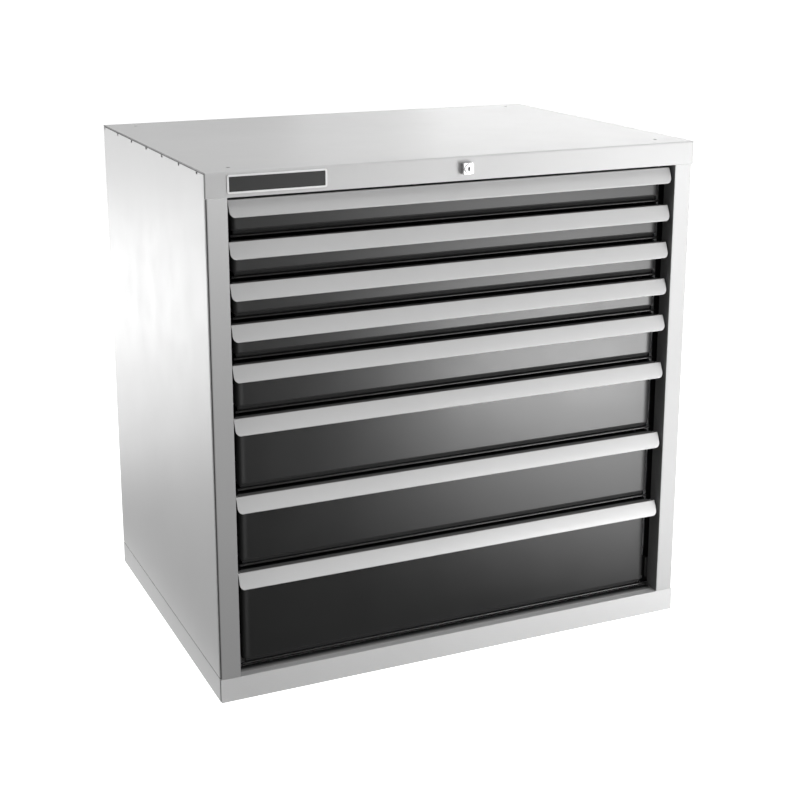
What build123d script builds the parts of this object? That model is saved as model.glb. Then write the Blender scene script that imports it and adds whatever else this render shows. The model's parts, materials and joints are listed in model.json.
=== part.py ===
from build123d import *
import math
import os

os.makedirs("parts", exist_ok=True)

# ---------------------------------------------------------------- overall
W = 1000.0            # width over the side panels
H = 1000.0            # height
DEPTH = 725.0         # front plane to back plane
LOCK_P = 12.0         # the lock stands proud of the front plane
YF = -(DEPTH - LOCK_P) / 2   # front plane (band and posts)
YB = (DEPTH + LOCK_P) / 2    # back plane
HW = W / 2

# ---------------------------------------------------------------- housing
BASE_H = 47.0         # plinth height
T = 2.0               # heavy sheet
TS = 1.5              # light sheet
OPEN_HW = 460.5       # half width of the front opening
OPEN_TOP = 954.5      # lower edge of the front band
POST_OUT = 497.6      # outer edge of the front posts
UP_OUT = 484.0        # outer reach of the uprights' flanges
SIDE_FRONT = YF + 7.0  # front edge of the side panels

HOLE_X = 442.0        # top fixing holes, half spacing across
HOLE_INSET = 48.0     # top fixing holes, from the front and back planes
HOLE_R = 4.5

# ---------------------------------------------------------------- drawers
TOP_MODULE = 950.5
MODULES = [75.0, 75.0, 75.0, 75.0, 100.0, 150.0, 150.0, 200.0]
FRONT_HW = 445.5      # half width of a drawer front
PY = YF + 32.0        # face of the drawer fronts
HANDLE_HW = 455.6     # half width of a grip handle
TRAY_HW = 432.0       # half width of a tray over its walls
TW = 1.2              # tray sheet
SEAM = 0.05           # seam between the sheets of a tray
TRAY_Y0 = PY + 8.5
TRAY_Y1 = YF + 666.0
RAIL_Y0 = YF + 64.0
RAIL_Y1 = YF + 664.0
RAIL_Z0 = 10.0        # rails, above the bottom of a module
RAIL_Z1 = 41.0

# ---------------------------------------------------------------- lock
LOCK_X = 0.0
LOCK_Z = 977.5
PLUG_R = 6.0
RUN = 0.05            # radial running clearance
CAM_R = 10.0 / (2 * math.sin(math.radians(45)))   # pin circle of the cam
BAR_X0, BAR_X1 = 450.5, 456.5
BAR_Y0, BAR_Y1 = YF + 49.0, YF + 57.0
CRANK_R = 20.0
CRANK_A = math.degrees(math.asin(5.0 / CRANK_R))
CRANK_X = 452.5 - CRANK_R * math.cos(math.radians(CRANK_A))
CRANK_Z = 964.0


def slab(x0, x1, y0, y1, z0, z1, mode=Mode.ADD):
    """A rectangular block between two corners."""
    with Locations(((x0 + x1) / 2, (y0 + y1) / 2, (z0 + z1) / 2)):
        Box(abs(x1 - x0), abs(y1 - y0), abs(z1 - z0), mode=mode)


def rod(x, z, y0, y1, r, mode=Mode.ADD):
    """A round bar along Y."""
    with Locations(Location((x, (y0 + y1) / 2, z), (90, 0, 0))):
        Cylinder(r, abs(y1 - y0), mode=mode)


# ================================================================ plinth
# Four channel rails, open towards the middle.
with BuildPart() as base_plinth:
    # front rail
    slab(-499.5, 499.5, YF, YF + T, 0, BASE_H)
    slab(-HW + T + 0.1, HW - T - 0.1, YF + T, YF + 31, BASE_H - T, BASE_H)
    slab(-HW + T + 0.1, HW - T - 0.1, YF + T, YF + 30, 0, T)
    # rear rail
    slab(-HW, HW, YB - T, YB, 0, BASE_H)
    slab(-HW + T + 0.1, HW - T - 0.1, YB - 40, YB - T, BASE_H - T, BASE_H)
    slab(-HW + T + 0.1, HW - T - 0.1, YB - 30, YB - T, 0, T)
    # side rails, a shadow gap clear of the front one, upper flange set low
    for s in (-1, 1):
        slab(s * (HW - T), s * HW, YF + 7.2, YB - 3.6, 0, BASE_H)
        slab(s * (HW - 40), s * (HW - T), YF + 40.05, YB - 40.05, BASE_H - 7, BASE_H - 5)
        slab(s * (HW - 32), s * (HW - T), YF + 40.05, YB - 40.05, 0, T)
base_plinth.part.label = "base_plinth"
export_step(base_plinth.part, "parts/base_plinth.step")

with BuildPart() as floor_panel:
    slab(-458.5, 458.5, YF + 4, YB - 8, BASE_H - T - TS, BASE_H - T)
floor_panel.part.label = "floor_panel"
export_step(floor_panel.part, "parts/floor_panel.step")

# ================================================================ side panels
NOTCHES = [YB - 12 - 111.0 * k for k in range(7)]
SCREW_Z = [110.0, 300.0, 500.0, 700.0, 890.0]

with BuildPart() as side_left:
    with BuildSketch(Plane.XY.offset(BASE_H)) as plan:
        with Locations((-HW + TS / 2, (SIDE_FRONT + YB) / 2)):
            Rectangle(TS, YB - SIDE_FRONT)
        with Locations((-HW + 7, SIDE_FRONT + TS / 2)):
            Rectangle(14, TS)
        with Locations((-HW + 15, YB - 3.75)):
            Rectangle(30, TS)
        fillet(plan.vertices().sort_by_distance(Vector(-HW, SIDE_FRONT, 0))[0], radius=2.5)
    extrude(amount=H - T - BASE_H)
    slab(-HW + TS, -HW + 14, SIDE_FRONT + 10, YB - 10, H - T - 5.0, H - T - 3.5)
    slab(-HW - 1, -HW + TS + 0.01, SIDE_FRONT - 1, YB + 1, BASE_H - 1, BASE_H + 2.2, mode=Mode.SUBTRACT)
    slab(-HW - 1, -HW + TS + 0.01, SIDE_FRONT - 1, YB + 1, H - T - 2.0, H, mode=Mode.SUBTRACT)
    for y in NOTCHES:
        slab(-HW - 1, -HW + 5, y - 4.5, y + 4.5, H - T - 6.5, H, mode=Mode.SUBTRACT)
    for z in SCREW_Z:
        rod(-HW + 16, z, YB - 6, YB, 2.2, mode=Mode.SUBTRACT)
side_left.part.label = "side_left"
export_step(side_left.part, "parts/side_left.step")

with BuildPart() as side_right:
    mirror(side_left.part, about=Plane.YZ)
side_right.part.label = "side_right"
export_step(side_right.part, "parts/side_right.step")

# ================================================================ back panel
with BuildPart() as back_panel:
    slab(-HW + TS + 0.5, HW - TS - 0.5, YB - 3, YB - 1.5, BASE_H + 1.5, H - 8)
    for s in (-1, 1):
        for z in SCREW_Z:
            rod(s * (HW - 16), z, YB - 6, YB, 2.2, mode=Mode.SUBTRACT)
back_panel.part.label = "back_panel"
export_step(back_panel.part, "parts/back_panel.step")

with BuildPart() as back_screws:
    for s in (-1, 1):
        for z in SCREW_Z:
            rod(s * (HW - 16), z, YB - 1.5, YB - 0.1, 4.5)
            rod(s * (HW - 16), z, YB - 12, YB - 1.5, 2.0)
back_screws.part.label = "back_screws"
export_step(back_screws.part, "parts/back_screws.step")

# ================================================================ top cover
with BuildPart() as top_cover:
    with BuildSketch(Plane.YZ.offset(-HW)) as bend:
        with Locations(((YF + YB) / 2, H - T / 2)):
            Rectangle(YB - YF, T)
        with Locations((YF + T / 2, (OPEN_TOP + H) / 2)):
            Rectangle(T, H - OPEN_TOP)
        with Locations((YF + 12.5, OPEN_TOP + TS / 2)):
            Rectangle(25, TS)
        with Locations((YB - TS / 2, H - 12)):
            Rectangle(TS, 24)
        fillet(bend.vertices().sort_by_distance(Vector(YF, H, 0))[0], radius=4)
        fillet(bend.vertices().sort_by_distance(Vector(YF + T, H - T, 0))[0], radius=2)
        fillet(bend.vertices().sort_by_distance(Vector(YF, OPEN_TOP, 0))[0], radius=1.0)
        fillet(bend.vertices().sort_by_distance(Vector(YB, H, 0))[0], radius=3)
    extrude(amount=W)
    for s in (-1, 1):
        slab(s * (HW - T), s * (HW + 1), YF + 3, YB + 1, OPEN_TOP - 1, H - T, mode=Mode.SUBTRACT)
        slab(s * 499.6, s * (HW + 1), YF - 1, YF + 3.1, OPEN_TOP - 1, H - T, mode=Mode.SUBTRACT)
        slab(s * 485, s * (HW + 1), YF + 3, YF + 30, OPEN_TOP - 1, OPEN_TOP + 5, mode=Mode.SUBTRACT)
        for y in (YF + HOLE_INSET, YB - HOLE_INSET):
            with Locations((s * HOLE_X, y, H)):
                Cylinder(HOLE_R, 10, mode=Mode.SUBTRACT)
    rod(LOCK_X, LOCK_Z, YF - 1, YF + T + 1, 9.5, mode=Mode.SUBTRACT)
top_cover.part.label = "top_cover"
export_step(top_cover.part, "parts/top_cover.step")

with BuildPart() as top_inserts:
    for s in (-1, 1):
        for y in (YF + HOLE_INSET, YB - HOLE_INSET):
            with BuildSketch(Plane.XY.offset(H - T)) as hexagon:
                with Locations((s * HOLE_X, y)):
                    RegularPolygon(8.5, 6)
                    Circle(HOLE_R, mode=Mode.SUBTRACT)
            extrude(amount=-8)
top_inserts.part.label = "top_inserts"
export_step(top_inserts.part, "parts/top_inserts.step")

# ================================================================ posts
with BuildPart() as post_left:
    with BuildSketch(Plane.XY.offset(BASE_H)) as plan:
        with Locations((-(OPEN_HW + POST_OUT) / 2, YF + TS / 2)):
            Rectangle(POST_OUT - OPEN_HW, TS)
        with Locations((-POST_OUT + TS / 2, YF + 1.5)):
            Rectangle(TS, 3.0)
        fillet(plan.vertices().sort_by_distance(Vector(-POST_OUT, YF, 0))[0], radius=2.2)
        fillet(plan.vertices().sort_by_distance(Vector(-OPEN_HW, YF, 0))[0], radius=1.0)
    extrude(amount=OPEN_TOP - 0.2 - BASE_H)
post_left.part.label = "post_left"
export_step(post_left.part, "parts/post_left.step")

with BuildPart() as post_right:
    mirror(post_left.part, about=Plane.YZ)
post_right.part.label = "post_right"
export_step(post_right.part, "parts/post_right.step")

# ================================================================ uprights
# Dark jamb liners right behind the posts.
with BuildPart() as front_uprights:
    for s in (-1, 1):
        slab(s * OPEN_HW, s * (OPEN_HW + TS), YF + TS, YF + 37, BASE_H, OPEN_TOP - 0.5)
        slab(s * (OPEN_HW + TS), s * UP_OUT, YF + TS, YF + 2 * TS, BASE_H, OPEN_TOP - 0.5)
        slab(s * (OPEN_HW + TS), s * UP_OUT, YF + 37 - TS, YF + 37, BASE_H, OPEN_TOP - 0.5)
front_uprights.part.label = "front_uprights"
export_step(front_uprights.part, "parts/front_uprights.step")

# Channels that carry the cabinet rails.
with BuildPart() as runner_uprights:
    for s in (-1, 1):
        for y0 in (YF + 62, YF + 611):
            slab(s * OPEN_HW, s * (OPEN_HW + T), y0, y0 + 40, BASE_H - 5, H - T)
            slab(s * (OPEN_HW + T), s * UP_OUT, y0, y0 + T, BASE_H - 5, H - T)
            slab(s * (OPEN_HW + T), s * UP_OUT, y0 + 38, y0 + 40, BASE_H - 5, H - T)
runner_uprights.part.label = "runner_uprights"
export_step(runner_uprights.part, "parts/runner_uprights.step")

# ================================================================ cabinet rails
bottoms = []
z = TOP_MODULE
for m in MODULES:
    z -= m
    bottoms.append(z)

with BuildPart() as cabinet_rails:
    for zb in bottoms:
        for s in (-1, 1):
            slab(s * (OPEN_HW - TS), s * OPEN_HW, RAIL_Y0, RAIL_Y1, zb + 8, zb + 43)
            slab(s * 450, s * (OPEN_HW - TS), RAIL_Y0, RAIL_Y1, zb + 8, zb + 9.5)
            slab(s * 450, s * (OPEN_HW - TS), RAIL_Y0, RAIL_Y1, zb + 41.5, zb + 43)
cabinet_rails.part.label = "cabinet_rails"
export_step(cabinet_rails.part, "parts/cabinet_rails.step")

# ================================================================ drawers
for n, (m, zb) in enumerate(zip(MODULES, bottoms), 1):
    zt = zb + m
    top = zt - 3.6        # top of the front and of the tray's front wall
    wall = zt - 13.0

    # tray: open box of five sheets with a taller front wall, seams of 0.05 mm
    with BuildPart() as tray:
        z0 = zb + 6 + TW + SEAM
        slab(-TRAY_HW, TRAY_HW, TRAY_Y0, TRAY_Y1, zb + 6, zb + 6 + TW)
        slab(-TRAY_HW, TRAY_HW, TRAY_Y0, TRAY_Y0 + TW, z0, top)
        slab(-TRAY_HW, TRAY_HW, TRAY_Y1 - TW, TRAY_Y1, z0, wall)
        for s in (-1, 1):
            slab(s * (TRAY_HW - TW), s * TRAY_HW, TRAY_Y0 + TW + SEAM, TRAY_Y1 - TW - SEAM, z0, wall)
    tray.part.label = f"drawer_{n}_tray"
    export_step(tray.part, f"parts/drawer_{n}_tray.step")

    # front: skin with rounded vertical edges, bottom bend, groove and hemmed lip
    with BuildPart() as front:
        with BuildSketch(Plane.XY.offset(zb + 12.8)) as plan:
            with Locations((0, PY + 4.25)):
                Rectangle(2 * FRONT_HW, 8.5)
            fillet(plan.vertices().sort_by(Axis.Y)[:2], radius=8)
        extrude(amount=top - (zb + 12.8))
        with BuildSketch(Plane.XY.offset(zb + 12.8 + TS + 1)) as inner:
            with Locations((0, PY + TS + 5)):
                Rectangle(2 * (FRONT_HW - TS), 10)
            fillet(inner.vertices().sort_by(Axis.Y)[:2], radius=6.5)
        extrude(amount=top - TS - (zb + 12.8 + TS + 1), mode=Mode.SUBTRACT)
        low = front.edges().filter_by(lambda e: abs(e.center().Z - (zb + 12.8)) < 1e-4 and e.center().Y < PY + 7)
        fillet(low, radius=4)
        slab(-FRONT_HW + 2, FRONT_HW - 2, YF + 17, PY + 8.5, top - TS, top)
        slab(-440, 440, PY + 7, PY + 8.5, zb + 1.8, zb + 12.8)
        with BuildSketch(Plane.YZ.offset(-446.5)) as lip:
            with Locations((PY + 2.3, zb + 4.2)):
                RectangleRounded(4.6, 4.8, 2.2)
            with Locations((PY + 5.25, zb + 2.55)):
                Rectangle(6.5, TS)
        extrude(amount=893)
    front.part.label = f"drawer_{n}_front"
    export_step(front.part, f"parts/drawer_{n}_front.step")

    # grip handle: slanted convex strip with a rolled lower lip
    with BuildPart() as handle:
        with BuildSketch(Plane.YZ.offset(-HANDLE_HW)) as section:
            with BuildLine() as outline:
                Line((YF + 15.6, zt - 2.6), (YF + 17.0, zt - 2.6))
                Line((YF + 17.0, zt - 2.6), (YF + 17.0, zt - 5.1))
                Line((YF + 17.0, zt - 5.1), (YF + 30.0, zt - 5.1))
                Line((YF + 30.0, zt - 5.1), (YF + 30.0, zt - 6.6))
                Line((YF + 30.0, zt - 6.6), (YF + 16.0, zt - 6.6))
                ThreePointArc((YF + 16.0, zt - 6.6), (YF + 10.4, zt - 18.5), (YF + 6.4, zt - 30.1))
                Line((YF + 6.4, zt - 30.1), (YF + 9.5, zt - 30.9))
                ThreePointArc((YF + 9.5, zt - 30.9), (YF + 10.2, zt - 32.1), (YF + 9.2, zt - 33.1))
                Line((YF + 9.2, zt - 33.1), (YF + 6.2, zt - 33.1))
                ThreePointArc((YF + 6.2, zt - 33.1), (YF + 4.4, zt - 32.3), (YF + 3.9, zt - 30.5))
                ThreePointArc((YF + 3.9, zt - 30.5), (YF + 8.4, zt - 16.9), (YF + 14.6, zt - 3.2))
                ThreePointArc((YF + 14.6, zt - 3.2), (YF + 15.0, zt - 2.75), (YF + 15.6, zt - 2.6))
            make_face()
        extrude(amount=2 * HANDLE_HW)
        for s in (-1, 1):
            with BuildSketch(Plane.XZ.offset(-YF + 5)) as corner:
                with Locations((s * (HANDLE_HW - 6), zt - 33.1 + 6)):
                    Rectangle(12.2, 12.2)
                with Locations((s * (HANDLE_HW - 12), zt - 33.1 + 12)):
                    Circle(12, mode=Mode.SUBTRACT)
            extrude(amount=-40, mode=Mode.SUBTRACT)
    handle.part.label = f"drawer_{n}_handle"
    export_step(handle.part, f"parts/drawer_{n}_handle.step")

    # drawer rails: channels open outwards, and the lock's catch tab on the right
    with BuildPart() as rails:
        for s in (-1, 1):
            slab(s * TRAY_HW, s * (TRAY_HW + TS), RAIL_Y0, RAIL_Y1, zb + RAIL_Z0, zb + RAIL_Z1)
            slab(s * (TRAY_HW + TS), s * 438.5, RAIL_Y0, RAIL_Y1, zb + RAIL_Z0, zb + RAIL_Z0 + TS)
            slab(s * (TRAY_HW + TS), s * 438.5, RAIL_Y0, RAIL_Y1, zb + RAIL_Z1 - TS, zb + RAIL_Z1)
        slab(TRAY_HW + 0.05, 447.0, YF + 60, YF + 62, zb + 54.5, zb + 60.5)
    rails.part.label = f"drawer_{n}_rails"
    export_step(rails.part, f"parts/drawer_{n}_rails.step")

    # mid rails: two channels back to back
    with BuildPart() as mids:
        for s in (-1, 1):
            slab(s * 443.5, s * 445.0, RAIL_Y0, RAIL_Y1, zb + RAIL_Z0, zb + RAIL_Z1)
            slab(s * 439.5, s * 449.0, RAIL_Y0, RAIL_Y1, zb + RAIL_Z0, zb + RAIL_Z0 + TS)
            slab(s * 439.5, s * 449.0, RAIL_Y0, RAIL_Y1, zb + RAIL_Z1 - TS, zb + RAIL_Z1)
    mids.part.label = f"drawer_{n}_mid_rails"
    export_step(mids.part, f"parts/drawer_{n}_mid_rails.step")

# ================================================================ lock
with BuildPart() as lock_housing:
    slab(LOCK_X - 11, LOCK_X + 11, YF - LOCK_P + 2, YF, LOCK_Z - 11, LOCK_Z + 11)
    fillet(lock_housing.edges().filter_by(Axis.Y), radius=2.2)
    chamfer(lock_housing.faces().sort_by(Axis.Y)[0].edges(), length=1.0)
    rod(LOCK_X, LOCK_Z, YF - LOCK_P, YF - LOCK_P + 3, 8.8)
    chamfer(lock_housing.faces().sort_by(Axis.Y)[0].edges(), length=0.6)
    rod(LOCK_X, LOCK_Z, YF, YF + 30, 9.3)
    rod(LOCK_X, LOCK_Z, YF - LOCK_P - 1, YF + 31, PLUG_R + RUN, mode=Mode.SUBTRACT)
lock_housing.part.label = "lock_housing"
export_step(lock_housing.part, "parts/lock_housing.step")

# plug with its keyhole, cam disc and drive pin
PIN_X = LOCK_X + CAM_R * math.sin(math.radians(45))
PIN_Z = LOCK_Z - CAM_R * math.cos(math.radians(45))
with BuildPart() as lock_plug:
    rod(LOCK_X, LOCK_Z, YF - LOCK_P + 0.6, YF + 32, PLUG_R)
    rod(LOCK_X, LOCK_Z, YF + 31, YF + 34, 10.5)
    rod(PIN_X, PIN_Z, YF + 33, YF + 43, 2.0)
    slab(LOCK_X - 1.1, LOCK_X + 1.1, YF - LOCK_P, YF + 2, LOCK_Z - 4.2, LOCK_Z + 4.2, mode=Mode.SUBTRACT)
lock_plug.part.label = "lock_plug"
export_step(lock_plug.part, "parts/lock_plug.step")

# sliding link from the cam to the bell crank
ARM_X = CRANK_X + CRANK_R * math.sin(math.radians(CRANK_A))
ARM_Z = CRANK_Z + CRANK_R * math.cos(math.radians(CRANK_A))
with BuildPart() as lock_link:
    slab(-20, 444.5, YF + 38, YF + 41, 970, 988)
    slab(-10, 20, YF + 38, YF + 41, 962, 970)
    with BuildSketch(Plane.XZ.offset(-(YF + 37))) as slots:
        with Locations((PIN_X, LOCK_Z - 6)):
            Rectangle(4.9, 9)
        with Locations((ARM_X, ARM_Z + 0.3)):
            Rectangle(4.8, 6.4)
    extrude(amount=-5, mode=Mode.SUBTRACT)
lock_link.part.label = "lock_link"
export_step(lock_link.part, "parts/lock_link.step")

# bell crank: hub, two arms at a right angle, a pin on each arm
with BuildPart() as lock_crank:
    rod(CRANK_X, CRANK_Z, YF + 44, YF + 47, 6.5)
    with BuildSketch(Plane.XZ.offset(-(YF + 44))) as arms:
        with BuildLine():
            a = math.radians(CRANK_A)
            ux, uz = math.sin(a), math.cos(a)
            Polyline(
                (CRANK_X - 3.5 * uz, CRANK_Z + 3.5 * ux),
                (CRANK_X + 3.5 * uz, CRANK_Z - 3.5 * ux),
                (CRANK_X + 3.5 * uz + CRANK_R * ux, CRANK_Z - 3.5 * ux + CRANK_R * uz),
                (CRANK_X - 3.5 * uz + CRANK_R * ux, CRANK_Z + 3.5 * ux + CRANK_R * uz),
                close=True,
            )
        make_face()
        with BuildLine():
            Polyline(
                (CRANK_X + 3.5 * ux, CRANK_Z + 3.5 * uz),
                (CRANK_X - 3.5 * ux, CRANK_Z - 3.5 * uz),
                (CRANK_X - 3.5 * ux + CRANK_R * uz, CRANK_Z - 3.5 * uz - CRANK_R * ux),
                (CRANK_X + 3.5 * ux + CRANK_R * uz, CRANK_Z + 3.5 * uz - CRANK_R * ux),
                close=True,
            )
        make_face()
    extrude(amount=-3)
    rod(ARM_X, ARM_Z, YF + 44, YF + 47, 3.5)
    rod(ARM_X, ARM_Z, YF + 37.6, YF + 45, 2.0)
    rod(CRANK_X + CRANK_R * uz, CRANK_Z - CRANK_R * ux, YF + 44, YF + 47, 3.5)
    rod(CRANK_X + CRANK_R * uz, CRANK_Z - CRANK_R * ux, YF + 46, YF + 53.5, 2.0)
    rod(CRANK_X, CRANK_Z, YF + 43, YF + 48, 3.0 + RUN, mode=Mode.SUBTRACT)
lock_crank.part.label = "lock_crank"
export_step(lock_crank.part, "parts/lock_crank.step")

# vertical bar, its head plate and a hook for each drawer, each 0.05 mm off the bar
with BuildPart() as lock_bar:
    slab(BAR_X0, BAR_X1, BAR_Y0, BAR_Y1, 58, 948)
    slab(446.5, 458.0, BAR_Y0, BAR_Y0 + 3, 948.05, 970)
    with BuildSketch(Plane.XZ.offset(-(BAR_Y0 - 1))) as slot:
        with Locations((CRANK_X + CRANK_R - 0.3, CRANK_Z - 4.7)):
            Rectangle(6.2, 4.8)
    extrude(amount=-5, mode=Mode.SUBTRACT)
    for zb in bottoms:
        slab(443.0, BAR_X0 - 0.05, BAR_Y0, BAR_Y1, zb + 45, zb + 53)
lock_bar.part.label = "lock_bar"
export_step(lock_bar.part, "parts/lock_bar.step")

# guides and brackets of the lock
with BuildPart() as lock_brackets:
    # low guide of the bar, behind the right jamb liner
    slab(454.0, 462.0, YF + 37, YF + 38.5, 65.5, 110.5)
    slab(459.0, 460.5, YF + 37, YF + 59, 65.5, 110.5)
    slab(BAR_X0, 460.5, YF + 46.9, YF + 48.4, 65.5, 110.5)
    slab(BAR_X0, 460.5, YF + 57.5, YF + 59, 65.5, 110.5)
    # crank bracket with its pivot, hung from the top plate
    slab(425, 441, YF + 33, YF + 35, 956, H - T)
    slab(425, 441, YF + 15, YF + 35, H - T - TS, H - T)
    rod(CRANK_X, CRANK_Z, YF + 34, YF + 48.5, 3.0)
    # two guides of the link
    for x in (150.0, 300.0):
        slab(x - 10, x + 10, YF + 36, YF + 37.5, 966, H - T)
        slab(x - 10, x + 10, YF + 41.5, YF + 43, 966, H - T)
        slab(x - 10, x + 10, YF + 36, YF + 43, H - T - TS, H - T)
lock_brackets.part.label = "lock_brackets"
export_step(lock_brackets.part, "parts/lock_brackets.step")

# ================================================================ plate
with BuildPart() as band_plate:
    slab(-457.5, -278.5, YF - 1.0, YF, 964.2, 991.4)
    fillet(band_plate.edges().filter_by(Axis.Y), radius=2.0)
band_plate.part.label = "band_plate"
export_step(band_plate.part, "parts/band_plate.step")
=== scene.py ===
import json
import math
import bpy
import bmesh
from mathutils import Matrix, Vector


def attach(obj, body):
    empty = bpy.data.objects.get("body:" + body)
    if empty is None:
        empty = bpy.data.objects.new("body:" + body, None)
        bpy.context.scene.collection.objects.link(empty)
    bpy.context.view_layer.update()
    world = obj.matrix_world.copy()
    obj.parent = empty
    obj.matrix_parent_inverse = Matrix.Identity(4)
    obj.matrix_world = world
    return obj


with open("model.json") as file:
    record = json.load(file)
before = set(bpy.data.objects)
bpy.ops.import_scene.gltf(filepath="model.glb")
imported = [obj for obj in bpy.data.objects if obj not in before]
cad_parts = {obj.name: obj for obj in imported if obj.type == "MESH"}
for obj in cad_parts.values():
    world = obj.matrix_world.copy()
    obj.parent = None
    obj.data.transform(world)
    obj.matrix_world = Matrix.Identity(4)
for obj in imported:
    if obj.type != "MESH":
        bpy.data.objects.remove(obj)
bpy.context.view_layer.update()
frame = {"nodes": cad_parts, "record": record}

NODES = frame["nodes"]
scene = bpy.context.scene
scene.view_settings.view_transform = "Standard"
scene.view_settings.look = "None"
scene.view_settings.exposure = 0.0
scene.view_settings.gamma = 1.0


# ---------------------------------------------------------------- materials
def tree(name):
    m = bpy.data.materials.new(name)
    m.use_nodes = True
    t = m.node_tree
    t.nodes.clear()
    out = t.nodes.new("ShaderNodeOutputMaterial")
    out.location = (600, 0)
    b = t.nodes.new("ShaderNodeBsdfPrincipled")
    b.location = (300, 0)
    t.links.new(b.outputs["BSDF"], out.inputs["Surface"])
    return m, t, b


def noise(t, scale, detail=3.0, rough=0.5, vec=None, stretch=None):
    n = t.nodes.new("ShaderNodeTexNoise")
    n.inputs["Scale"].default_value = scale
    n.inputs["Detail"].default_value = detail
    n.inputs["Roughness"].default_value = rough
    if stretch:
        mp = t.nodes.new("ShaderNodeMapping")
        mp.inputs["Scale"].default_value = stretch
        t.links.new(vec, mp.inputs["Vector"])
        vec = mp.outputs["Vector"]
    t.links.new(vec, n.inputs["Vector"])
    return n


def ramp(t, fac, stops):
    r = t.nodes.new("ShaderNodeValToRGB")
    e = r.color_ramp.elements
    e[0].position, e[0].color = stops[0]
    e[1].position, e[1].color = stops[-1]
    for p, c in stops[1:-1]:
        x = e.new(p)
        x.color = c
    t.links.new(fac, r.inputs["Fac"])
    return r


def grey(v, tint=(1.0, 1.0, 1.0)):
    return (v * tint[0], v * tint[1], v * tint[2], 1.0)


def paint(name, value, tint, rough, spread=0.03, peel=0.05, speck=0.02, spec=0.5, coat=0.0, coat_rough=0.2):
    """Powder coat: slow tone drift, fine speckle, orange-peel surface."""
    m, t, b = tree(name)
    tc = t.nodes.new("ShaderNodeTexCoord").outputs["Object"]
    slow = noise(t, 2.2, 2.0, 0.5, tc)
    fine = noise(t, 900.0, 2.0, 0.6, tc)
    base = ramp(t, slow.outputs["Fac"], [(0.3, grey(value * (1 - spread), tint)), (0.7, grey(value * (1 + spread), tint))])
    spk = ramp(t, fine.outputs["Fac"], [(0.35, grey(1 - speck)), (0.65, grey(1.0))])
    mix = t.nodes.new("ShaderNodeMix")
    mix.data_type = "RGBA"
    mix.blend_type = "MULTIPLY"
    mix.inputs[0].default_value = 1.0
    t.links.new(base.outputs["Color"], mix.inputs[6])
    t.links.new(spk.outputs["Color"], mix.inputs[7])
    t.links.new(mix.outputs[2], b.inputs["Base Color"])
    rn = noise(t, 14.0, 4.0, 0.6, tc)
    rr = ramp(t, rn.outputs["Fac"], [(0.3, grey(rough * 0.93)), (0.7, grey(rough * 1.07))])
    t.links.new(rr.outputs["Color"], b.inputs["Roughness"])
    b.inputs["Specular IOR Level"].default_value = spec
    if coat:
        b.inputs["Coat Weight"].default_value = coat
        b.inputs["Coat Roughness"].default_value = coat_rough
    orange = noise(t, 420.0, 2.0, 0.45, tc)
    wave = noise(t, 6.0, 2.0, 0.5, tc)
    bp = t.nodes.new("ShaderNodeBump")
    bp.inputs["Strength"].default_value = peel
    bp.inputs["Distance"].default_value = 0.001
    t.links.new(orange.outputs["Fac"], bp.inputs["Height"])
    bw = t.nodes.new("ShaderNodeBump")
    bw.inputs["Strength"].default_value = 0.02
    bw.inputs["Distance"].default_value = 0.01
    t.links.new(wave.outputs["Fac"], bw.inputs["Height"])
    t.links.new(bp.outputs["Normal"], bw.inputs["Normal"])
    t.links.new(bw.outputs["Normal"], b.inputs["Normal"])
    return m


def metal(name, value, tint, rough, stretch, scale=260.0, strength=0.06, spread=0.08):
    """Bare or plated metal with a drawn grain along one direction."""
    m, t, b = tree(name)
    tc = t.nodes.new("ShaderNodeTexCoord").outputs["Object"]
    grain = noise(t, scale, 3.0, 0.6, tc, stretch)
    patch = noise(t, 30.0, 3.0, 0.6, tc)
    col = ramp(t, patch.outputs["Fac"], [(0.3, grey(value * (1 - spread), tint)), (0.7, grey(value * (1 + spread), tint))])
    t.links.new(col.outputs["Color"], b.inputs["Base Color"])
    rr = ramp(t, grain.outputs["Fac"], [(0.3, grey(rough * 0.8)), (0.7, grey(rough * 1.25))])
    t.links.new(rr.outputs["Color"], b.inputs["Roughness"])
    b.inputs["Metallic"].default_value = 1.0
    bp = t.nodes.new("ShaderNodeBump")
    bp.inputs["Strength"].default_value = strength
    bp.inputs["Distance"].default_value = 0.0005
    t.links.new(grain.outputs["Fac"], bp.inputs["Height"])
    t.links.new(bp.outputs["Normal"], b.inputs["Normal"])
    return m


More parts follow.
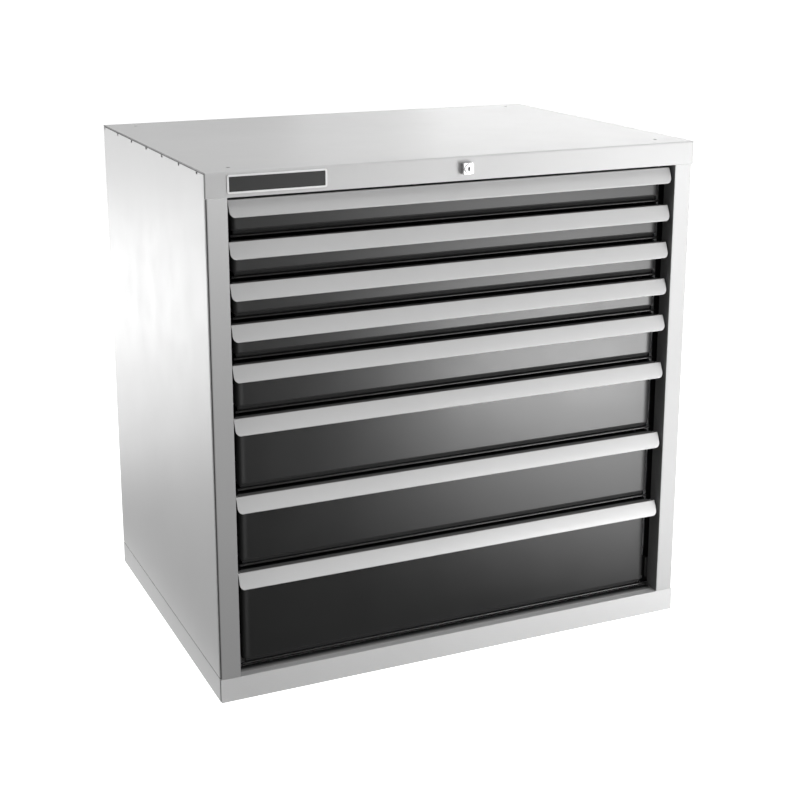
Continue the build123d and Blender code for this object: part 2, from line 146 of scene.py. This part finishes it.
NEUTRAL = (1.0, 1.0, 1.0)
MAT = {
    "light_paint": paint("light_grey_powder_coat", 0.62, NEUTRAL, 0.42),
    "handle_grey": paint("handle_light_grey", 0.60, NEUTRAL, 0.38, peel=0.04),
    "black_satin": paint("black_satin_coat", 0.010, NEUTRAL, 0.30, spread=0.08, peel=0.005, speck=0.08, spec=0.5),
    "black_paint": paint("black_matt_paint", 0.022, NEUTRAL, 0.5, peel=0.04, speck=0.1),
    "zinc": metal("zinc_plate", 0.55, (1, 1, 1.02), 0.36, (1.0, 0.05, 1.0)),
    "bright_metal": metal("bright_plating", 0.60, (1, 1, 1.0), 0.26, (1.0, 1.0, 1.0), scale=500.0, strength=0.02, spread=0.03),
    "plate": paint("dark_plate", 0.012, NEUTRAL, 0.45, peel=0.02, speck=0.05),
}
def paint_seam_shade(m, inner, outer, dark):
    """Painted shade: the base colour is darkened towards both ends (object x), standing in for the shadow in the seam
    where the top meets the side panels.
    """
    t = m.node_tree
    b = next(n for n in t.nodes if n.type == "BSDF_PRINCIPLED")
    xyz = t.nodes.new("ShaderNodeSeparateXYZ")
    t.links.new(t.nodes.new("ShaderNodeTexCoord").outputs["Object"], xyz.inputs[0])
    size = t.nodes.new("ShaderNodeMath")
    size.operation = "ABSOLUTE"
    t.links.new(xyz.outputs["X"], size.inputs[0])
    r = t.nodes.new("ShaderNodeMapRange")
    for key, v in (("From Min", inner), ("From Max", outer), ("To Min", 1.0), ("To Max", dark)):
        r.inputs[key].default_value = v
    t.links.new(size.outputs[0], r.inputs["Value"])
    mix = t.nodes.new("ShaderNodeVectorMath")
    mix.operation = "SCALE"
    t.links.new(b.inputs["Base Color"].links[0].from_socket, mix.inputs[0])
    t.links.new(r.outputs["Result"], mix.inputs["Scale"])
    t.links.new(mix.outputs["Vector"], b.inputs["Base Color"])
    return m


# painted shade: the top's colour is darkened along both side edges for the seam's shadow
TOP = paint_seam_shade(paint("top_light_grey", 0.62, NEUTRAL, 0.42), 0.4988, 0.4994, 0.30)
JAMB = paint("jamb_dark_grey", 0.15, NEUTRAL, 0.5, peel=0.04, speck=0.08)
SLOT = {s["node"]: s["material_slot"] for s in frame["record"]["subparts"]}


# ---------------------------------------------------------------- edges
def soften(o, width, segments=2, angle=32.0):
    """Rolled edges on a sheet-metal piece: joined faces, small bevel, clean normals."""
    w = o.modifiers.new("join", "WELD")
    w.merge_threshold = 2e-6
    d = o.modifiers.new("flat", "DECIMATE")
    d.decimate_type = "DISSOLVE"
    d.angle_limit = math.radians(0.6)
    b = o.modifiers.new("edge", "BEVEL")
    b.width = width
    b.segments = segments
    b.limit_method = "ANGLE"
    b.angle_limit = math.radians(angle)
    b.use_clamp_overlap = True
    b.harden_normals = False
    n = o.modifiers.new("normals", "WEIGHTED_NORMAL")
    n.keep_sharp = False
    n.weight = 60


for name, o in NODES.items():
    o.data.materials.clear()
    o.data.materials.append({"front_uprights": JAMB, "top_cover": TOP}.get(name, MAT[SLOT[name]]))
    o.data.polygons.foreach_set("use_smooth", [True] * len(o.data.polygons))
    kind = name.split("_")[-1]
    width = 0.0005
    if kind in ("rails", "brackets", "screws", "inserts", "plug", "crank", "link", "bar"):
        width = 0.0003
    if kind in ("handle",):
        width = 0.0006
    soften(o, width)

# ---------------------------------------------------------------- small pieces
YF = -0.3565


def extrusion(name, outline, axis, lo, hi, material, bevel=0.0003):
    """A profile outline (two coordinates per point) drawn out along one axis."""
    order = {"x": (1, 2), "y": (0, 2), "z": (0, 1)}[axis]
    along = "xyz".index(axis)
    bm = bmesh.new()
    rings = []
    for at in (lo, hi):
        ring = []
        for p in outline:
            co = [0.0, 0.0, 0.0]
            co[order[0]], co[order[1]], co[along] = p[0], p[1], at
            ring.append(bm.verts.new(co))
        rings.append(ring)
    n = len(outline)
    for i in range(n):
        bm.faces.new((rings[0][i], rings[0][(i + 1) % n], rings[1][(i + 1) % n], rings[1][i]))
    bm.faces.new(rings[0])
    bm.faces.new(list(reversed(rings[1])))
    bmesh.ops.recalc_face_normals(bm, faces=bm.faces)
    me = bpy.data.meshes.new(name)
    bm.to_mesh(me)
    bm.free()
    me.polygons.foreach_set("use_smooth", [True] * len(me.polygons))
    me.materials.append(material)
    o = bpy.data.objects.new(name, me)
    scene.collection.objects.link(o)
    b = o.modifiers.new("edge", "BEVEL")
    b.width = bevel
    b.segments = 2
    b.limit_method = "ANGLE"
    b.angle_limit = math.radians(40)
    w = o.modifiers.new("normals", "WEIGHTED_NORMAL")
    w.weight = 60
    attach(o, "housing")
    return o


def lip_profile(u0, u1, v0, v1, lip):
    """A shade strip's section: a flat back with a round nose towards u0."""
    pts = [(u1, v0), (u1, v1)]
    mid, half = (v0 + v1) / 2, (v1 - v0) / 2
    for k in range(9):
        a = math.pi / 2 - math.pi * k / 8
        pts.append((u0 - lip * (1 - math.cos(a)), mid + half * math.sin(a)))
    return pts


# painted shade: dark materials for strips put where the gaps and seams hold only shadow
SHADE_DARK = paint("shade_dark", 0.05, NEUTRAL, 0.6, peel=0.03, speck=0.08)
CORNER = paint("corner_shadow_grey", 0.15, NEUTRAL, 0.6, peel=0.03, speck=0.08)
for side, tag in ((-1, "left"), (1, "right")):
    # dark strips as painted shade in the gaps between the front frame and the side panel, and at the plinth's corner
    extrusion(f"corner_shade_strip_{tag}", lip_profile(side * 0.4993, side * 0.4900, YF + 0.0032, YF + 0.0067, side * 0.0006), "z", 0.0480, 0.9535, CORNER)
    extrusion(f"band_end_shade_strip_{tag}", lip_profile(side * 0.49992, side * 0.4985, YF + 0.0032, YF + 0.0069, side * 0.0002), "z", 0.9550, 0.9975, CORNER, 0.0001)
    extrusion(f"plinth_corner_seal_{tag}", lip_profile(side * 0.4994, side * 0.4982, YF + 0.0023, YF + 0.0070, side * 0.0004), "z", 0.0010, 0.0462, CORNER)
    # dark strips as painted shade along the seams at the side panel's lower and upper edges
    for where, z0, z1 in (("low", 0.0471, 0.0491), ("high", 0.9961, 0.9979)):
        extrusion(f"side_seam_shade_{where}_{tag}", lip_profile(side * 0.49992, side * 0.4972, z0, z1, side * 0.0003), "y", YF + 0.0085, 0.3640, SHADE_DARK, 0.0001)


def frame_ring(name, x0, x1, z0, z1, wide, y0, y1, r, material):
    """A flat rounded frame with an open middle."""
    def loop(inset):
        pts = []
        rr = max(r - inset, 0.0003)
        for cx, cz, a0 in ((x1 - inset - rr, z1 - inset - rr, 0), (x0 + inset + rr, z1 - inset - rr, 90), (x0 + inset + rr, z0 + inset + rr, 180), (x1 - inset - rr, z0 + inset + rr, 270)):
            for k in range(7):
                a = math.radians(a0 + 15 * k)
                pts.append((cx + rr * math.cos(a), cz + rr * math.sin(a)))
        return pts
    outer, inner = loop(0.0), loop(wide)
    bm = bmesh.new()
    rows = [[bm.verts.new((p[0], y, p[1])) for p in l] for l, y in ((outer, y1), (outer, y0), (inner, y0), (inner, y1))]
    n = len(outer)
    for a, b in zip(rows, rows[1:] + rows[:1]):
        for i in range(n):
            bm.faces.new((a[i], a[(i + 1) % n], b[(i + 1) % n], b[i]))
    bmesh.ops.recalc_face_normals(bm, faces=bm.faces)
    me = bpy.data.meshes.new(name)
    bm.to_mesh(me)
    bm.free()
    me.polygons.foreach_set("use_smooth", [True] * len(me.polygons))
    me.materials.append(material)
    o = bpy.data.objects.new(name, me)
    scene.collection.objects.link(o)
    b = o.modifiers.new("edge", "BEVEL")
    b.width = 0.00015
    b.segments = 2
    b.limit_method = "ANGLE"
    b.angle_limit = math.radians(50)
    w = o.modifiers.new("normals", "WEIGHTED_NORMAL")
    w.weight = 60
    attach(o, "housing")
    return o


# per drawer: a bead along the bottom bend, coloured lighter than the black coat as a painted highlight; a dark grey
# strip on the handle's rear flange, darkened as painted shade from the drawer above; and a strip in the groove,
# coloured lighter as painted light
PY = YF + 0.032
def fade_ends(m, inner, outer):
    """The coat is duller over the two rolled ends of a long panel (object x)."""
    t = m.node_tree
    b = next(n for n in t.nodes if n.type == "BSDF_PRINCIPLED")
    xyz = t.nodes.new("ShaderNodeSeparateXYZ")
    t.links.new(t.nodes.new("ShaderNodeTexCoord").outputs["Object"], xyz.inputs[0])
    size = t.nodes.new("ShaderNodeMath")
    size.operation = "ABSOLUTE"
    t.links.new(xyz.outputs["X"], size.inputs[0])
    r = t.nodes.new("ShaderNodeMapRange")
    r.interpolation_type = "SMOOTHSTEP"
    r.inputs["From Min"].default_value = inner
    r.inputs["From Max"].default_value = outer
    r.inputs["To Min"].default_value = 0.0
    r.inputs["To Max"].default_value = 0.6
    t.links.new(size.outputs[0], r.inputs["Value"])
    total = t.nodes.new("ShaderNodeMath")
    total.use_clamp = True
    t.links.new(b.inputs["Roughness"].links[0].from_socket, total.inputs[0])
    t.links.new(r.outputs["Result"], total.inputs[1])
    t.links.new(total.outputs[0], b.inputs["Roughness"])


fade_ends(MAT["black_satin"], 0.428, 0.4435)
# painted highlight: the bead is a lighter copy of the black coat so the bottom bend reads as a light line
BEAD_HIGHLIGHT = paint("bead_black_painted_highlight", 0.028, NEUTRAL, 0.6, peel=0.02, speck=0.06, spec=0.2)
# painted light: the groove strip is a lighter copy of the black coat, standing in for light in the recess
GROOVE_LIGHT = paint("groove_black_painted_light", 0.03, NEUTRAL, 0.75, peel=0.02, speck=0.06, spec=0.1)
# painted shade: the flange strip's grey is darkened for the shade under the drawer above
FLANGE_SHADE = paint("flange_grey_painted_shade", 0.20, NEUTRAL, 0.4, peel=0.03, speck=0.06)
z = 0.9505
for n, module in enumerate((0.075, 0.075, 0.075, 0.075, 0.100, 0.150, 0.150, 0.200), 1):
    z_top, z = z, z - module
    section = []
    for radius, steps in ((0.00435, range(0, 9)), (0.0036, range(8, -1, -1))):
        for k in steps:
            a = math.radians(-3 + 10 * k)
            section.append((PY + 0.0040 - radius * math.cos(a), z + 0.0168 - radius * math.sin(a)))
    bead = extrusion(f"drawer_{n}_bead", section, "x", -0.4390, 0.4390, BEAD_HIGHLIGHT, 0.0001)
    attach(bead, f"drawer_{n}")
    section = [(YF + 0.0172, z_top - 0.0052), (YF + 0.0172, z_top - 0.0037), (YF + 0.0178, z_top - 0.0034), (YF + 0.0312, z_top - 0.0034), (YF + 0.0316, z_top - 0.0038), (YF + 0.0316, z_top - 0.0052)]
    strip = extrusion(f"drawer_{n}_flange_strip", section, "x", -0.4480, 0.4480, FLANGE_SHADE, 0.0001)
    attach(strip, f"drawer_{n}")
    section = [(PY + 0.0069, z + 0.0052), (PY + 0.0063, z + 0.0056), (PY + 0.0063, z + 0.0118), (PY + 0.0069, z + 0.0122)]
    groove = extrusion(f"drawer_{n}_groove_strip", section, "x", -0.4385, 0.4385, GROOVE_LIGHT, 0.0001)
    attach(groove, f"drawer_{n}")

# shaded strip along the back of the sill, under the lowest drawer
SILL = paint("sill_shade", 0.45, NEUTRAL, 0.5, peel=0.03, speck=0.04)
t = SILL.node_tree
b = next(n for n in t.nodes if n.type == "BSDF_PRINCIPLED")
xyz = t.nodes.new("ShaderNodeSeparateXYZ")
t.links.new(t.nodes.new("ShaderNodeTexCoord").outputs["Object"], xyz.inputs[0])
r = t.nodes.new("ShaderNodeMapRange")
for key, v in (("From Min", PY - 0.0150), ("From Max", PY - 0.0015), ("To Min", 1.0), ("To Max", 0.05)):
    r.inputs[key].default_value = v
t.links.new(xyz.outputs["Y"], r.inputs["Value"])
shade = t.nodes.new("ShaderNodeVectorMath")
shade.operation = "SCALE"
t.links.new(b.inputs["Base Color"].links[0].from_socket, shade.inputs[0])
t.links.new(r.outputs["Result"], shade.inputs["Scale"])
t.links.new(shade.outputs["Vector"], b.inputs["Base Color"])
section = [(PY - 0.0150, 0.0468), (PY - 0.0150, 0.04705), (PY - 0.0144, 0.0474), (PY + 0.0060, 0.0474), (PY + 0.0064, 0.0470), (PY + 0.0064, 0.0468)]
extrusion("sill_shade_strip", section, "x", -0.4600, 0.4600, SILL, 0.0001)

RIM = paint("plate_rim", 0.92, NEUTRAL, 0.4, peel=0.02, speck=0.02)
frame_ring("plate_rim", -0.4606, -0.2754, 0.9612, 0.9944, 0.0034, YF - 0.0013, YF, 0.0040, RIM)

# keyway shade: a dark oval let into the plug's face, painted shade standing in for the dark inside of the keyhole
bm = bmesh.new()
rings = []
for grow, y in ((1.0, YF - 0.0106), (1.0, YF - 0.0116), (0.90, YF - 0.0118), (0.35, YF - 0.0116)):
    ring = []
    for k in range(28):
        a = 2 * math.pi * k / 28
        ring.append(bm.verts.new((grow * 0.0022 * math.cos(a), y, 0.9775 + grow * 0.0047 * math.sin(a))))
    rings.append(ring)
for a, b in zip(rings, rings[1:]):
    for i in range(28):
        bm.faces.new((a[i], a[(i + 1) % 28], b[(i + 1) % 28], b[i]))
bm.faces.new(rings[0])
bm.faces.new(rings[-1])
bmesh.ops.recalc_face_normals(bm, faces=bm.faces)
me = bpy.data.meshes.new("keyway_shade")
bm.to_mesh(me)
bm.free()
me.materials.append(SHADE_DARK)
keyhole_shade_obj = bpy.data.objects.new("keyway_shade", me)
scene.collection.objects.link(keyhole_shade_obj)
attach(keyhole_shade_obj, "lock_plug")

# ---------------------------------------------------------------- floor and backdrop
def pale(name, low, high, glow):
    m, t, b = tree(name)
    tc = t.nodes.new("ShaderNodeTexCoord").outputs["Object"]
    n = noise(t, 1.5, 2.0, 0.5, tc)
    r = ramp(t, n.outputs["Fac"], [(0.3, grey(low)), (0.7, grey(high))])
    t.links.new(r.outputs["Color"], b.inputs["Base Color"])
    b.inputs["Roughness"].default_value = 0.7
    b.inputs["Specular IOR Level"].default_value = 0.2
    b.inputs["Emission Color"].default_value = (1, 1, 1, 1)
    b.inputs["Emission Strength"].default_value = glow
    return m


bpy.ops.mesh.primitive_circle_add(vertices=96, radius=40.0, fill_type="NGON", location=(0, 0, 0))
floor = bpy.context.active_object
floor.name = "floor"
floor.data.materials.append(pale("pale_floor", 0.86, 0.88, 0.9))
bpy.ops.mesh.primitive_uv_sphere_add(segments=48, ring_count=24, radius=42.0, location=(0, 0, 0))
backdrop = bpy.context.active_object
backdrop.name = "backdrop"
backdrop.data.materials.append(pale("pale_backdrop", 0.86, 0.88, 1.0))
for o in (floor, backdrop):
    o.visible_diffuse = False
    o.visible_glossy = False
    o.visible_transmission = False
backdrop.visible_shadow = False

# what the gloss sees of the floor: dim, and brighter in front of the right half
bm = bmesh.new()
bmesh.ops.create_circle(bm, cap_ends=True, segments=64, radius=6.0)
me = bpy.data.meshes.new("floor_sheen")
bm.to_mesh(me)
bm.free()
sheen = bpy.data.objects.new("floor_sheen", me)
scene.collection.objects.link(sheen)
sheen.location = (0.0, 0.0, 0.0006)
m = bpy.data.materials.new("floor_sheen")
m.use_nodes = True
t = m.node_tree
t.nodes.clear()
out = t.nodes.new("ShaderNodeOutputMaterial")
em = t.nodes.new("ShaderNodeEmission")
tc = t.nodes.new("ShaderNodeTexCoord")
dist = t.nodes.new("ShaderNodeVectorMath")
dist.operation = "DISTANCE"
dist.inputs[1].default_value = (1.0, -1.1, 0.0)
t.links.new(tc.outputs["Object"], dist.inputs[0])
xyz = t.nodes.new("ShaderNodeSeparateXYZ")
t.links.new(tc.outputs["Object"], xyz.inputs[0])


def step(value, x0, x1, y0, y1):
    r = t.nodes.new("ShaderNodeMapRange")
    r.interpolation_type = "SMOOTHSTEP"
    for key, v in (("From Min", x0), ("From Max", x1), ("To Min", y0), ("To Max", y1)):
        r.inputs[key].default_value = v
    t.links.new(value, r.inputs["Value"])
    return r.outputs["Result"]


def combine(op, a, b):
    n = t.nodes.new("ShaderNodeMath")
    n.operation = op
    t.links.new(a, n.inputs[0])
    t.links.new(b, n.inputs[1])
    return n.outputs[0]


far = t.nodes.new("ShaderNodeVectorMath")
far.operation = "DISTANCE"
far.inputs[1].default_value = (0.8, -4.4, 0.0)
t.links.new(tc.outputs["Object"], far.inputs[0])
front = combine("ADD", step(dist.outputs["Value"], 0.0, 1.1, 4.8, 0.22), step(far.outputs["Value"], 0.4, 1.5, 1.1, 0.0))
left = combine("MULTIPLY", step(xyz.outputs["X"], -0.50, -0.46, 1.0, 0.0), step(xyz.outputs["Y"], -0.60, -0.40, 0.0, 1.0))
rear = step(xyz.outputs["Y"], 0.6, 1.5, 0.0, 2.3)
beside = step(xyz.outputs["X"], -0.58, -0.53, 0.0, 0.95)
side_glow = combine("MULTIPLY", left, combine("ADD", rear, beside))
inverse = t.nodes.new("ShaderNodeMath")
inverse.operation = "SUBTRACT"
inverse.inputs[0].default_value = 1.0
t.links.new(left, inverse.inputs[1])
total = combine("ADD", side_glow, combine("MULTIPLY", inverse.outputs[0], front))
t.links.new(total, em.inputs["Strength"])
t.links.new(em.outputs["Emission"], out.inputs["Surface"])
me.materials.append(m)
sheen.visible_camera = False
sheen.visible_diffuse = False
sheen.visible_transmission = False
sheen.visible_shadow = False

# ---------------------------------------------------------------- light
world = bpy.data.worlds.new("studio")
scene.world = world
world.use_nodes = True
wt = world.node_tree
wt.nodes.clear()
wo = wt.nodes.new("ShaderNodeOutputWorld")
bg = wt.nodes.new("ShaderNodeBackground")
bg.inputs["Color"].default_value = (1, 1, 1, 1)
bg.inputs["Strength"].default_value = 0.249
wt.links.new(bg.outputs["Background"], wo.inputs["Surface"])


def area(name, at, to, size, power):
    l = bpy.data.lights.new(name, "AREA")
    l.shape = "RECTANGLE"
    l.size, l.size_y = size
    l.energy = power
    o = bpy.data.objects.new(name, l)
    scene.collection.objects.link(o)
    o.location = at
    o.rotation_mode = "QUATERNION"
    o.rotation_quaternion = (Vector(to) - Vector(at)).to_track_quat("-Z", "Y")
    o.visible_camera = False
    return o


# The left post is left out of the main lights, as if a flag shaded it, and has a light of its own. The right post and
# the low cards are kept apart in the same way.
def only(name, nodes):
    c = bpy.data.collections.new(name)
    for n in nodes:
        c.objects.link(NODES[n])
    return c


def all_but(name, nodes):
    c = only(name, nodes)
    for k in range(len(nodes)):
        c.collection_objects[k].light_linking.link_state = "EXCLUDE"
    return c


no_left_post = all_but("all_but_left_post", ["post_left"])
no_posts = all_but("all_but_posts", ["post_left", "post_right"])
LIGHTS = [
    ("left_back_high", (-2.6, 1.2, 2.2), (-0.5, 0.1, 0.6), (1.4, 1.4), 7.0),
    ("left_high", (-2.4, -0.1, 2.4), (-0.5, 0.0, 0.6), (1.4, 1.2), 34.5),
    ("left_back_low", (-1.3, 2.0, 0.2), (-0.5, 0.0, 0.5), (1.2, 0.5), 4.2),
    ("left_back", (-2.4, 1.8, 1.2), (-0.5, 0.0, 0.8), (1.2, 1.2), 18.7),
    ("front_card", (1.6, -3.2, 0.8), (0.2, -0.3, 0.5), (1.0, 1.2), 14.1),
    ("right_card", (2.6, -2.6, 0.8), (0.2, -0.3, 0.5), (1.0, 1.2), 9.6),
    ("right_side_card", (3.0, -1.4, 1.0), (0.3, -0.3, 0.5), (1.0, 1.4), 2.8),
    ("floor_card_near", (0.9, -1.6, 0.1), (0.35, -0.35, 0.5), (0.7, 0.4), 11.4),
    ("floor_card_mid", (1.5, -1.9, 0.1), (0.4, -0.35, 0.5), (0.7, 0.5), 11.0),
    ("floor_card_right", (2.1, -1.9, 0.2), (0.4, -0.35, 0.5), (0.8, 0.7), 6.5),
    ("floor_card_far", (1.7, -2.8, 0.2), (0.4, -0.35, 0.5), (0.9, 0.6), 3.6),
    ("floor_card_side", (2.5, -1.2, 0.35), (0.4, -0.35, 0.5), (0.7, 0.6), 2.4),
    ("key_right_high", (2.0, -1.0, 2.2), (0.4, -0.35, 0.8), (0.8, 0.8), 5.9),
    ("key_front_high", (0.8, -1.1, 2.6), (0.2, -0.35, 0.9), (0.35, 0.35), 6.0),
    ("top_soft", (0.0, 0.0, 3.2), (0.0, 0.0, 1.0), (1.6, 1.2), 6.0),
    ("top_right", (1.6, 0.6, 2.6), (0.2, 0.0, 1.0), (1.2, 1.2), 14.1),
    ("back_mid", (1.0, 2.4, 1.5), (0.1, 0.0, 1.0), (0.6, 0.5), 1.5),
    ("back_right", (2.0, 2.4, 1.7), (0.3, 0.0, 1.0), (1.4, 0.8), 10.5),
]
for args in LIGHTS:
    low = args[0] in ("floor_card_near", "floor_card_mid")
    area(*args).light_linking.receiver_collection = no_posts if low else no_left_post
area("left_post_light", (-0.46, -1.05, 2.0), (-0.48, -0.3565, 0.95), (0.4, 0.4), 17.7).light_linking.receiver_collection = only("left_post_only", ["post_left"])
area("band_light", (1.2, -1.6, 0.8), (0.4, -0.3565, 0.97), (0.4, 0.4), 2.6).light_linking.receiver_collection = only("band_only", ["top_cover"])
area("right_post_light", (1.0, -2.2, 1.6), (0.48, -0.3565, 0.7), (0.6, 0.6), 30.0).light_linking.receiver_collection = only("right_post_only", ["post_right"])

# ---------------------------------------------------------------- camera
cam = bpy.data.cameras.new("camera")
cam_o = bpy.data.objects.new("camera", cam)
scene.collection.objects.link(cam_o)
cam.sensor_width = 36.0
cam.lens = 68.217
cam.shift_y = -0.1
cam.clip_start, cam.clip_end = 0.05, 200.0
cam_o.location = (-1.2497, -2.8347, 1.4043)
cam_o.rotation_euler = (math.radians(90 - 14.4745), 0.0, math.radians(-24.2388))
scene.camera = cam_o

# ---------------------------------------------------------------- update
bpy.context.view_layer.update()
